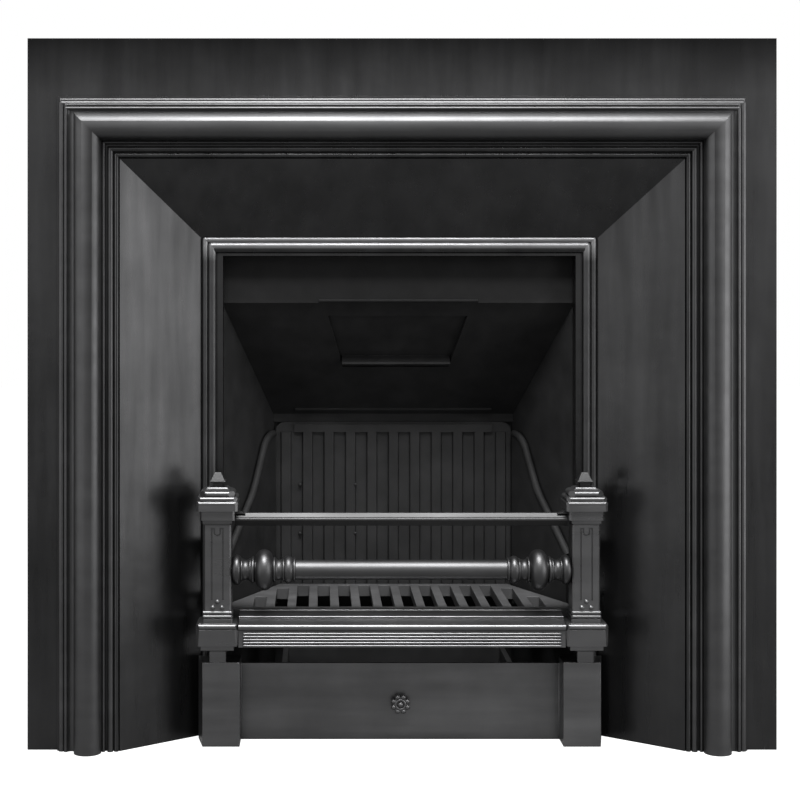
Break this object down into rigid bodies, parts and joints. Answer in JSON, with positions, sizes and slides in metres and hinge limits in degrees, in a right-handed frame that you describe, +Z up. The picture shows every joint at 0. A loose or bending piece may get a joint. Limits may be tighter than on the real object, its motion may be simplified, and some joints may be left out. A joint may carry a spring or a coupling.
{
  "type": "cast iron fireplace",
  "caption": "Cast iron register fireplace: moulded front with splayed cheeks, firebox with damper, lift-off fire front with columns and turned bar, lift-out grate, ashpan cover and pan",
  "frame": {"origin": "bottom centre of the whole part's bounding box, on the hearth", "axes": "+X to the right across the front, +Y back into the wall, +Z up"},
  "size_m": [1.016, 0.3124, 0.965],
  "materials": {
    "casting": "satin",
    "worn_iron": "satin",
    "sooted_iron": "matte",
    "steel": "satin"
  },
  "bodies": {
    "fireplace": {"front_frame": "casting", "hood_plate": "sooted_iron", "side_plate_left": "sooted_iron", "side_plate_right": "sooted_iron", "rear_plate": "sooted_iron", "fireback": "sooted_iron", "side_brick_left": "sooted_iron", "side_brick_right": "sooted_iron", "damper_lugs": "sooted_iron", "damper_pin": "steel", "front_bolts": "steel", "front_nuts": "steel", "rear_bolts": "steel", "rear_nuts": "steel", "jamb_lugs": "steel", "lug_screws": "steel"},
    "damper": {"damper_flap": "sooted_iron"},
    "grate": {"grate": "sooted_iron"},
    "fire_front": {"column_left": "casting", "column_right": "casting", "cap_left": "worn_iron", "cap_right": "worn_iron", "finial_left": "worn_iron", "finial_right": "worn_iron", "top_rail": "worn_iron", "turned_bar": "worn_iron", "base_rail": "worn_iron", "hanging_hooks": "casting"},
    "ashpan_cover": {"ashpan_cover": "casting", "cover_knob": "worn_iron", "knob_nut": "steel"},
    "ash_pan": {"ash_pan": "steel", "pan_handle": "steel"}
  },
  "joints": [
    {"name": "damper_hinge", "type": "hinge", "parent": "fireplace", "child": "damper", "pos_m": [0, 0.00067, 0.60274], "axis": [1, 0, 0], "range_deg": [0, 55]},
    {"name": "fire_front_lift", "type": "slide", "parent": "fireplace", "child": "fire_front", "axis": [0, 0, 1], "range_m": [0, 0.02]},
    {"name": "grate_lift", "type": "slide", "parent": "fireplace", "child": "grate", "axis": [0, 0, 1], "range_m": [0, 0.05]},
    {"name": "cover_slide", "type": "slide", "parent": "fireplace", "child": "ashpan_cover", "axis": [0, -1, 0], "range_m": [0, 0.25]},
    {"name": "pan_slide", "type": "slide", "parent": "fireplace", "child": "ash_pan", "axis": [0, -1, 0], "range_m": [0, 0.2]}
  ],
  "couplings": [
    {"joint": "pan_slide", "follows": "cover_slide", "ratio": 0.8}
  ]
}
